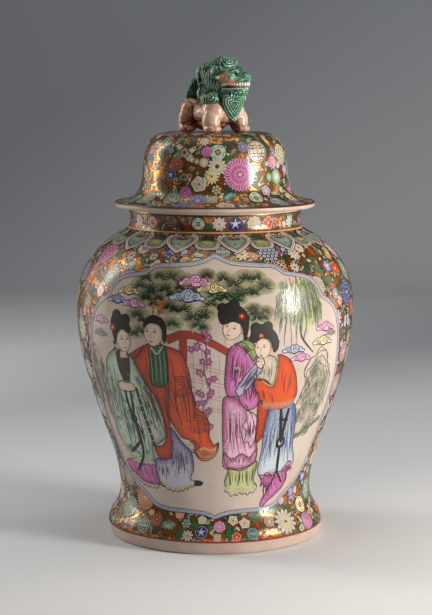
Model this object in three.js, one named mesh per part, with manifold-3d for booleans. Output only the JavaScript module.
// A lidded baluster jar in glazed ceramic, with a guardian lion as the handle of its lid.
// Units are millimetres, +Z is up, and the origin is the centre of the foot on the table.
// The jar, the lid and the lion are built from the clay pieces that a potter joins with slip.

import * as THREE from 'three';
import { mergeVertices } from 'three/addons/utils/BufferGeometryUtils.js';
import Module from 'manifold-3d';

const wasm = await Module();
wasm.setup();

// Driving dimensions

const wall = 6;
const seatGap = 0.3; // between the lid and the mouth that carries it
const luteGap = 0.3; // slip joint between two carved pieces
const turns = 40; // facets round the jar

const jar = {
  footRadius: 101.6,
  footEdge: 1.6, // chamfer at the table
  bandHeight: 9.5, // unpainted band at the foot
  bandRadius: 103.4,
  rollRadius: 103.8,
  rollHeight: 15,
  waistRadius: 92,
  waistHeight: 46,
  bellyRadius: 133.1,
  bellyHeight: 221,
  neckRadius: 82.5,
  neckHeight: 299.5, // where the shoulder meets the neck
  neckLength: 17.5,
  lipRound: 2,
  floor: 8,
  footRecess: 4,
  footRingWidth: 13,
  joinHeight: 150, // where the lower and upper halves are joined
};

const lid = {
  flangeRadius: 96,
  flangeEdge: 6,
  flareRadius: 71.2,
  flareRise: 17.7, // from the flange's top edge to the foot of the dome
  domeRadius: 67.5,
  domeRise: 25, // near-upright side of the dome
  plateauRadius: 45,
  shoulderRise: 22.5, // rounded shoulder up to the flat top
  ringClearance: 2, // between the locating ring and the mouth
  ringWall: 5,
  ringDepth: 14,
};

// The lion stands along its own +X, with its left side towards +Y
const lion = {
  heading: -55, // degrees from the jar's +X
  offset: -2.5,
  stanceLength: 42,
  stanceWidth: 33,
  trunkLength: 56,
  trunkWidth: 38,
  trunkHeight: 25,
  bellyClearance: 6,
  clayWall: 6,
  ventRadius: 2.5,
  haunchRadius: 12.5,
  shoulderRadius: 13,
  legRadius: 8.5,
  pawLength: 10.5,
  pawHeight: 6,
  headForward: 20,
  headHeight: 56, // centre of the skull above the feet
  headTurn: 25, // degrees to its left
  skullRadius: 14,
  browWidth: 25,
  muzzleLength: 28, // from the centre of the skull to the tip of the nose
  muzzleWidth: 24,
  muzzleHeight: 10,
  jawLength: 26,
  jawHeight: 7,
  mouthHeight: 46.5, // top edge of the upper teeth above the feet
  toothHeight: 3.4,
  toothRow: 1.8, // how thick the row of teeth is
  biteGap: 0.6,
  eyeRadius: 3.2,
  earLength: 11,
  earWidth: 6,
  maneWidth: 37,
  maneLength: 29,
  maneHem: 26, // lower edge above the feet
  maneTop: 71,
  collarHeight: 20,
  curlLength: 15,
  curlHeight: 12,
  curlWidth: 9,
  beardWidth: 24,
  beardTop: 36,
  beardTip: 10.5,
  beardThickness: 4,
  tailWidth: 17,
  tailThickness: 11,
  tailTop: 52,
};

const mouthHeight = jar.neckHeight + jar.neckLength;

// Solids and curves

const point = (r, z) => new THREE.Vector2(r, z);

// The cubic curve from a to d with handles b and c, in even steps of its parameter
const curve = (a, b, c, d, steps) =>
  new THREE.CubicBezierCurve(a, b, c, d).getPoints(steps);

// A quarter round from angle start to end, in degrees, about (r, z)
function corner(r, z, radius, start, end, steps = 3) {
  const arc = new THREE.EllipseCurve(r, z, radius, radius, THREE.MathUtils.degToRad(start),
    THREE.MathUtils.degToRad(end), end < start);
  return arc.getPoints(steps);
}

// The same line moved inwards by a wall's thickness, at right angles to itself
function inset(line, thickness) {
  return line.map((p, i) => {
    const before = line[Math.max(i - 1, 0)];
    const after = line[Math.min(i + 1, line.length - 1)];
    const along = after.clone().sub(before).normalize();
    return point(p.x - along.y * thickness, p.y + along.x * thickness);
  });
}

// The stretch of a rising line between two heights, cut square at both
function between(line, low, high) {
  const at = (height) => {
    const above = line.findIndex((p) => p.y > height);
    const i = above > 0 ? above : above < 0 ? line.length - 1 : 1;
    const [a, b] = [line[i - 1], line[i]];
    return a.clone().lerp(b, (height - a.y) / (b.y - a.y)).setY(height);
  };
  const sliver = 0.5;
  const inside = line.filter((p) => p.y > low + sliver && p.y < high - sliver);
  return [at(low), ...inside, at(high)];
}

// A closed mesh as a solid: shared points are merged and empty triangles dropped
function solid(geometry) {
  const bare = geometry.clone();
  bare.deleteAttribute('normal');
  bare.deleteAttribute('uv');
  const merged = mergeVertices(bare, 1e-3);
  const corners = [];
  for (let i = 0; i < merged.index.count; i += 3) {
    const [a, b, c] = [0, 1, 2].map((k) => merged.index.getX(i + k));
    if (a !== b && b !== c && c !== a) corners.push(a, b, c);
  }
  return new wasm.Manifold(new wasm.Mesh({
    numProp: 3,
    vertProperties: merged.attributes.position.array,
    triVerts: Uint32Array.from(corners),
  }));
}

function geometryOf(shape) {
  const mesh = shape.getMesh();
  const geometry = new THREE.BufferGeometry();
  geometry.setAttribute('position', new THREE.BufferAttribute(mesh.vertProperties, 3));
  geometry.setIndex(new THREE.BufferAttribute(mesh.triVerts, 1));
  geometry.computeVertexNormals();
  return geometry;
}

// A closed outline of (radius, height) points, listed anticlockwise, turned round the Z axis
function turned(outline, facets = turns) {
  const closed = outline[0].equals(outline.at(-1)) ? outline : [...outline, outline[0]];
  return solid(new THREE.LatheGeometry(closed, facets).rotateX(Math.PI / 2));
}

// An ellipsoid with its centre at `at`, its long axis tipped about Y and turned about Z
function ball(at, radii, { tip = 0, turn = 0, fine = 12, grow = 0 } = {}) {
  const geometry = new THREE.SphereGeometry(1, fine, Math.round(fine * 0.6));
  geometry.rotateX(Math.PI / 2);
  geometry.scale(...radii.map((r) => r + grow));
  geometry.rotateY(THREE.MathUtils.degToRad(tip));
  geometry.rotateZ(THREE.MathUtils.degToRad(turn));
  geometry.translate(...at);
  return solid(geometry);
}

const joined = (shapes) => shapes.reduce((all, shape) => all.add(shape));

// What is left of a shape beside the others: its largest piece, with any slivers dropped
function without(shape, others) {
  const left = others.reduce((rest, other) => rest.subtract(other), shape);
  return left.decompose().sort((a, b) => b.volume() - a.volume())[0];
}

// Glazes

const glazed = (color, roughness = 0.25) =>
  new THREE.MeshStandardMaterial({ color, roughness, metalness: 0 });
const paintedGlaze = glazed('#b89a6c', 0.3);
const bareClay = glazed('#d9bca6', 0.55);
const peachGlaze = glazed('#c98f70');
const greenGlaze = glazed('#2f7a5c');
const toothGlaze = glazed('#efe6d6');
const eyeGlaze = glazed('#1c1a18');

// The jar

function jarOutside() {
  const foot = [
    point(jar.footRadius - jar.footEdge, 0),
    point(jar.footRadius, jar.footEdge),
    point(jar.bandRadius, jar.bandHeight),
  ];
  const flare = curve(
    point(jar.rollRadius, jar.rollHeight),
    point(jar.rollRadius, jar.rollHeight + (jar.waistHeight - jar.rollHeight) * 0.29),
    point(jar.waistRadius, jar.waistHeight - (jar.waistHeight - jar.rollHeight) * 0.58),
    point(jar.waistRadius, jar.waistHeight), 4);
  const rise = jar.bellyHeight - jar.waistHeight;
  const lower = curve(
    point(jar.waistRadius, jar.waistHeight),
    point(jar.waistRadius, jar.waistHeight + rise * 0.25),
    point(jar.bellyRadius, jar.bellyHeight - rise * 0.41),
    point(jar.bellyRadius, jar.bellyHeight), 7);
  const drop = jar.neckHeight - jar.bellyHeight;
  const shoulder = curve(
    point(jar.bellyRadius, jar.bellyHeight),
    point(jar.bellyRadius, jar.bellyHeight + drop * 0.46),
    point(jar.neckRadius + (jar.bellyRadius - jar.neckRadius) * 0.757, jar.neckHeight - drop * 0.28),
    point(jar.neckRadius, jar.neckHeight), 6);
  return [...foot, ...flare, ...lower.slice(1), ...shoulder.slice(1)];
}

function jarInside() {
  const cavity = inset(jarOutside().filter((p) => p.y >= jar.rollHeight), wall);
  const floorTop = jar.footRecess + jar.floor;
  const side = cavity.filter((p) => p.y > floorTop + wall && p.y < jar.neckHeight - wall);
  return [
    point(side[0].x - wall, floorTop),
    ...side,
    point(jar.neckRadius - wall, jar.neckHeight),
  ];
}

function lowerHalf() {
  const outside = between(jarOutside(), 0, jar.joinHeight);
  const inside = between(jarInside(), jar.footRecess + jar.floor, jar.joinHeight);
  const ringInner = jar.footRadius - jar.footEdge - jar.footRingWidth;
  return turned([
    point(0, jar.footRecess),
    point(ringInner - jar.footRecess, jar.footRecess),
    point(ringInner, 0),
    ...outside,
    ...inside.reverse(),
    point(0, jar.footRecess + jar.floor),
    point(0, jar.footRecess),
  ]);
}

function upperHalf() {
  const outside = between(jarOutside(), jar.joinHeight, jar.neckHeight);
  const inside = between(jarInside(), jar.joinHeight, jar.neckHeight);
  return turned([...outside, ...inside.reverse()]);
}

function neck() {
  const [outer, inner] = [jar.neckRadius, jar.neckRadius - wall];
  const r = jar.lipRound;
  return turned([
    point(inner, jar.neckHeight),
    point(outer, jar.neckHeight),
    ...corner(outer - r, mouthHeight - r, r, 0, 90, 2),
    ...corner(inner + r, mouthHeight - r, r, 90, 180, 2),
  ]);
}

// The lid

const flangeBottom = mouthHeight + seatGap;
const flangeTop = flangeBottom + lid.flangeEdge;
const plateauHeight = flangeTop + lid.flareRise + lid.domeRise + lid.shoulderRise;

function lidFlare() {
  const spread = lid.flangeRadius - lid.flareRadius;
  return curve(
    point(lid.flangeRadius - lid.flangeEdge / 2, flangeTop),
    point(lid.flareRadius + spread * 0.44, flangeTop + lid.flareRise * 0.1),
    point(lid.flareRadius + spread * 0.05, flangeTop + lid.flareRise * 0.27),
    point(lid.flareRadius, flangeTop + lid.flareRise), 5);
}

function lidDomeSide() {
  const side = flangeTop + lid.flareRise + lid.domeRise;
  const shoulder = curve(
    point(lid.domeRadius, side),
    point(lid.domeRadius * 0.98, side + lid.shoulderRise * 0.62),
    point(lid.plateauRadius + (lid.domeRadius - lid.plateauRadius) * 0.58, plateauHeight),
    point(lid.plateauRadius, plateauHeight), 4);
  return [point(lid.flareRadius, flangeTop + lid.flareRise), ...shoulder];
}

function lidDome() {
  const edge = lid.flangeEdge / 2;
  const side = lidDomeSide();
  return turned([
    point(lid.flareRadius - wall, flangeBottom),
    ...corner(lid.flangeRadius - edge, flangeBottom + edge, edge, -90, 90, 4).slice(0, -1),
    ...lidFlare(),
    ...side.slice(1),
    point(0, plateauHeight),
    point(0, plateauHeight - wall),
    ...inset(side, wall).reverse(),
    point(lid.flareRadius - wall, flangeBottom),
  ]);
}

function locatingRing() {
  const outer = jar.neckRadius - wall - lid.ringClearance;
  const inner = outer - lid.ringWall;
  const low = flangeBottom - lid.ringDepth;
  const chamfer = lid.ringWall * 0.3;
  return turned([
    point(inner, low + chamfer),
    point(inner + chamfer, low),
    point(outer - chamfer, low),
    point(outer, low + chamfer),
    point(outer, flangeBottom),
    point(inner, flangeBottom),
  ]);
}

// The lion. Each shape can be asked for a little larger, to cut its neighbour clear of it

const trunkMiddle = lion.bellyClearance + lion.trunkHeight / 2;
const stance = { x: lion.stanceLength / 2, y: lion.stanceWidth / 2 };

function trunk(grow = 0) {
  const { trunkLength, trunkWidth, trunkHeight, haunchRadius, shoulderRadius, legRadius } = lion;
  const shapes = [ball([0, 0, trunkMiddle], [trunkLength / 2, trunkWidth / 2, trunkHeight / 2],
    { fine: 16, grow })];
  for (const side of [1, -1]) {
    const y = side * (stance.y - legRadius * 0.5);
    shapes.push(
      ball([-stance.x, y, trunkMiddle + 0.5], [haunchRadius, haunchRadius * 0.85, haunchRadius],
        { grow }),
      ball([stance.x - 3, y, trunkMiddle], [shoulderRadius, shoulderRadius * 0.85, shoulderRadius],
        { grow }),
    );
  }
  return joined(shapes);
}

function hollowTrunk() {
  const half = [lion.trunkLength, lion.trunkWidth, lion.trunkHeight].map((size) => size / 2);
  const cavity = ball([0, 0, trunkMiddle], half.map((r) => r - lion.clayWall));
  const vent = turned([
    point(0, 0),
    point(lion.ventRadius, 0),
    point(lion.ventRadius, trunkMiddle),
    point(0, trunkMiddle),
    point(0, 0),
  ], 8);
  return trunk().subtract(cavity.add(vent));
}

// A leg with its paw, standing on the lid
function leg(front, side, grow = 0) {
  const x = front * stance.x;
  const y = side * stance.y;
  const r = lion.legRadius + grow;
  const foot = -grow;
  const post = turned([
    point(0, foot),
    point(r * 0.94, foot),
    point(r, lion.pawHeight * 0.5),
    point(r * 0.86, lion.pawHeight * 1.4),
    point(r, trunkMiddle * 0.8),
    point(r * 0.7, trunkMiddle + r * 0.4),
    point(0, trunkMiddle + r * 0.6),
    point(0, foot),
  ], 14).translate([x, y, 0]);
  const toes = turned([
    point(0, foot),
    point(1, foot),
    point(1.05, lion.pawHeight * 0.4),
    point(0.7, lion.pawHeight * 0.85),
    point(0, lion.pawHeight),
    point(0, foot),
  ], 14).scale([lion.pawLength + grow, r * 0.95, 1]).translate([x + r * 0.25, y, 0]);
  return post.add(toes);
}

const headBall = (at, radii, options = {}) => {
  const turn = THREE.MathUtils.degToRad(lion.headTurn);
  const place = new THREE.Vector3(...at).applyAxisAngle(new THREE.Vector3(0, 0, 1), turn);
  place.add(new THREE.Vector3(lion.headForward, 0, lion.headHeight));
  return ball(place.toArray(), radii, { turn: lion.headTurn, ...options });
};

// Skull, brow, muzzle and nose
function head(grow = 0) {
  const { skullRadius, browWidth, muzzleLength, muzzleWidth, muzzleHeight } = lion;
  const lip = lion.mouthHeight - lion.headHeight;
  return joined([
    headBall([0, 0, 0], [skullRadius, skullRadius, skullRadius], { fine: 14, grow }),
    headBall([skullRadius * 0.7, 0, skullRadius * 0.2],
      [skullRadius * 0.65, browWidth / 2, skullRadius * 0.38], { grow }),
    headBall([muzzleLength * 0.46, 0, lip + muzzleHeight / 2],
      [muzzleLength * 0.52, muzzleWidth / 2, muzzleHeight / 2], { fine: 14, grow }),
    headBall([muzzleLength - 4, 0, lip + muzzleHeight * 0.75],
      [4.5, muzzleWidth * 0.28, muzzleHeight * 0.4], { grow }),
  ]);
}

const upperTeethLow = lion.mouthHeight - lion.toothHeight;
const lowerTeethHigh = upperTeethLow - lion.biteGap;

function jaw(grow = 0) {
  const { jawLength, jawHeight, muzzleWidth, headHeight } = lion;
  const middle = lowerTeethHigh - lion.toothHeight / 2 - jawHeight / 2 - headHeight;
  return joined([
    headBall([jawLength * 0.48, 0, middle], [jawLength * 0.5, muzzleWidth * 0.46, jawHeight / 2],
      { grow }),
    headBall([jawLength * 0.25, 0, middle - jawHeight * 0.3],
      [jawLength * 0.48, muzzleWidth * 0.5, jawHeight * 0.8], { grow }),
  ]);
}

// A row of teeth that curves round the front of the mouth, from height low to high
function teeth(low, high, length, grow = 0) {
  const arc = (inwards) => new THREE.EllipseCurve(0, 0, length - inwards,
    lion.muzzleWidth * 0.46 - inwards, -Math.PI / 2, Math.PI / 2).getPoints(10);
  const row = new THREE.Shape([...arc(-grow), ...arc(lion.toothRow + grow).reverse()]);
  const depth = high - low + 2 * grow;
  const geometry = new THREE.ExtrudeGeometry(row, { depth, bevelEnabled: false });
  geometry.translate(lion.muzzleLength * 0.12, 0, low - grow);
  geometry.rotateZ(THREE.MathUtils.degToRad(lion.headTurn));
  geometry.translate(lion.headForward, 0, 0);
  return solid(geometry);
}

const upperTeeth = (grow = 0) =>
  teeth(upperTeethLow, lion.mouthHeight + lion.muzzleHeight / 2, lion.muzzleLength * 0.82, grow);
const lowerTeeth = (grow = 0) =>
  teeth(lowerTeethHigh - lion.toothHeight, lowerTeethHigh, lion.muzzleLength * 0.76, grow);

// The mane is a hood behind the face that comes down to the shoulders
function mane(grow = 0) {
  const { maneWidth, maneLength, maneHem, maneTop, collarHeight, headForward } = lion;
  const middle = (maneHem + maneTop) / 2;
  const x = headForward - 6;
  return joined([
    ball([x, 0, middle], [maneLength / 2, maneWidth / 2, (maneTop - maneHem) / 2 - 2],
      { fine: 16, grow }),
    ball([x - 1, 0, maneHem + collarHeight / 2], [maneLength * 0.48, maneWidth * 0.48, collarHeight / 2],
      { fine: 14, grow }),
    ball([x + 4, 0, maneTop - 8], [maneLength * 0.48, maneWidth * 0.36, 8], { tip: 10, grow }),
    ball([x - maneLength * 0.38, 0, middle + 9], [maneLength * 0.28, maneWidth * 0.3, 6],
      { tip: 20, grow }),
  ]);
}

function collarCurl(side, grow = 0) {
  const { curlLength, curlHeight, curlWidth, maneWidth } = lion;
  return ball([lion.headForward - 4, side * maneWidth * 0.42, lion.maneHem + curlHeight * 0.35],
    [curlLength / 2, curlWidth / 2, curlHeight / 2], { grow });
}

function ear(side, grow = 0) {
  const { earLength, earWidth, skullRadius, maneWidth } = lion;
  return headBall([skullRadius * 0.1, side * maneWidth * 0.43, skullRadius * 0.15],
    [earLength / 2, earWidth / 2, earWidth / 2], { tip: -25, grow });
}

function eye(side) {
  const r = lion.eyeRadius;
  return headBall([lion.skullRadius * 0.85, side * lion.muzzleWidth * 0.38, -lion.skullRadius * 0.22],
    [r, r, r]);
}

// A shield-shaped beard that follows the curve of the chest
function beard(grow = 0) {
  const { beardWidth, beardTop, beardTip, beardThickness, shoulderRadius } = lion;
  const half = beardWidth / 2 + grow;
  const [top, tip] = [beardTop + grow, beardTip - grow];
  const widest = tip + (top - tip) * 0.7;
  const shield = new THREE.Shape();
  shield.moveTo(0, tip);
  shield.bezierCurveTo(half * 0.6, tip + (widest - tip) * 0.35, half, widest - 4, half, widest);
  shield.bezierCurveTo(half, top, half * 0.4, top, 0, top);
  shield.bezierCurveTo(-half * 0.4, top, -half, top, -half, widest);
  shield.bezierCurveTo(-half, widest - 4, -half * 0.6, tip + (widest - tip) * 0.35, 0, tip);
  const depth = shoulderRadius * 2;
  const plate = new THREE.ExtrudeGeometry(shield, { depth, bevelEnabled: false, curveSegments: 5 });
  plate.rotateX(Math.PI / 2);
  plate.rotateZ(Math.PI / 2);
  plate.translate(stance.x - beardThickness, 0, 0);
  const chest = ball([stance.x - 3, 0, trunkMiddle + 2],
    [shoulderRadius + beardThickness + grow, beardWidth * 0.8 + grow, (top - tip) * 0.72],
    { fine: 16 });
  return solid(plate).intersect(chest);
}

// An upright brush of a tail on the rump
function tail(grow = 0) {
  const root = lion.bellyClearance + lion.trunkHeight - 3;
  const rise = lion.tailTop - root;
  return joined([
    ball([-stance.x - 1, 0, root + rise * 0.5],
      [lion.tailThickness / 2, lion.tailWidth * 0.42, rise / 2], { tip: 14, grow }),
    ball([-stance.x - 5, 0, root + rise * 0.25],
      [lion.tailThickness / 2, lion.tailWidth / 2, rise * 0.34], { tip: 8, grow }),
  ]);
}

// What a piece is joined to is cut out of it, one slip joint larger
function lionPieces() {
  const g = luteGap;
  const pieces = [['lion_trunk', hollowTrunk(), peachGlaze]];
  for (const [end, front] of [['foreleg', 1], ['hind_leg', -1]]) {
    for (const [name, side] of [['left', 1], ['right', -1]]) {
      pieces.push([`lion_${name}_${end}`, without(leg(front, side), [trunk(g)]), peachGlaze]);
    }
  }
  const bite = [head(g), upperTeeth(g)];
  pieces.push(
    ['lion_head', without(head(), [trunk(g)]), greenGlaze],
    ['lion_upper_teeth', without(upperTeeth(), [head(g)]), toothGlaze],
    ['lion_jaw', without(jaw(), [trunk(g), ...bite]), greenGlaze],
    ['lion_lower_teeth', without(lowerTeeth(), [jaw(g), ...bite]), toothGlaze],
    ['lion_beard', without(beard(), [trunk(g), jaw(g), head(g)]), greenGlaze],
    ['lion_mane', without(mane(), [trunk(g), jaw(g), beard(g), lowerTeeth(g), ...bite]), greenGlaze],
    ['lion_tail', without(tail(), [trunk(g), mane(g)]), greenGlaze],
  );
  for (const [name, side] of [['left', 1], ['right', -1]]) {
    pieces.push(
      [`lion_${name}_ear`, without(ear(side), [head(g), mane(g)]), greenGlaze],
      [`lion_${name}_eye`, without(eye(side), [head(g), mane(g)]), eyeGlaze],
      [`lion_${name}_mane_curl`,
        without(collarCurl(side), [trunk(g), mane(g), beard(g), head(g)]), greenGlaze],
    );
  }
  return pieces;
}

// Assembly

function named(name, shape, material) {
  const mesh = new THREE.Mesh(geometryOf(shape), material);
  mesh.name = name;
  return mesh;
}

const part = new THREE.Group();
part.add(
  named('jar_lower_half', lowerHalf(), paintedGlaze),
  named('jar_upper_half', upperHalf(), paintedGlaze),
  named('jar_neck', neck(), paintedGlaze),
  named('lid_dome', lidDome(), paintedGlaze),
  named('lid_locating_ring', locatingRing(), bareClay),
);

const finial = new THREE.Group();
finial.position.set(lion.offset, 0, plateauHeight + luteGap);
finial.rotation.z = THREE.MathUtils.degToRad(lion.heading);
for (const [name, shape, material] of lionPieces()) {
  finial.add(named(name, shape, material));
}
part.add(finial);

export default part;
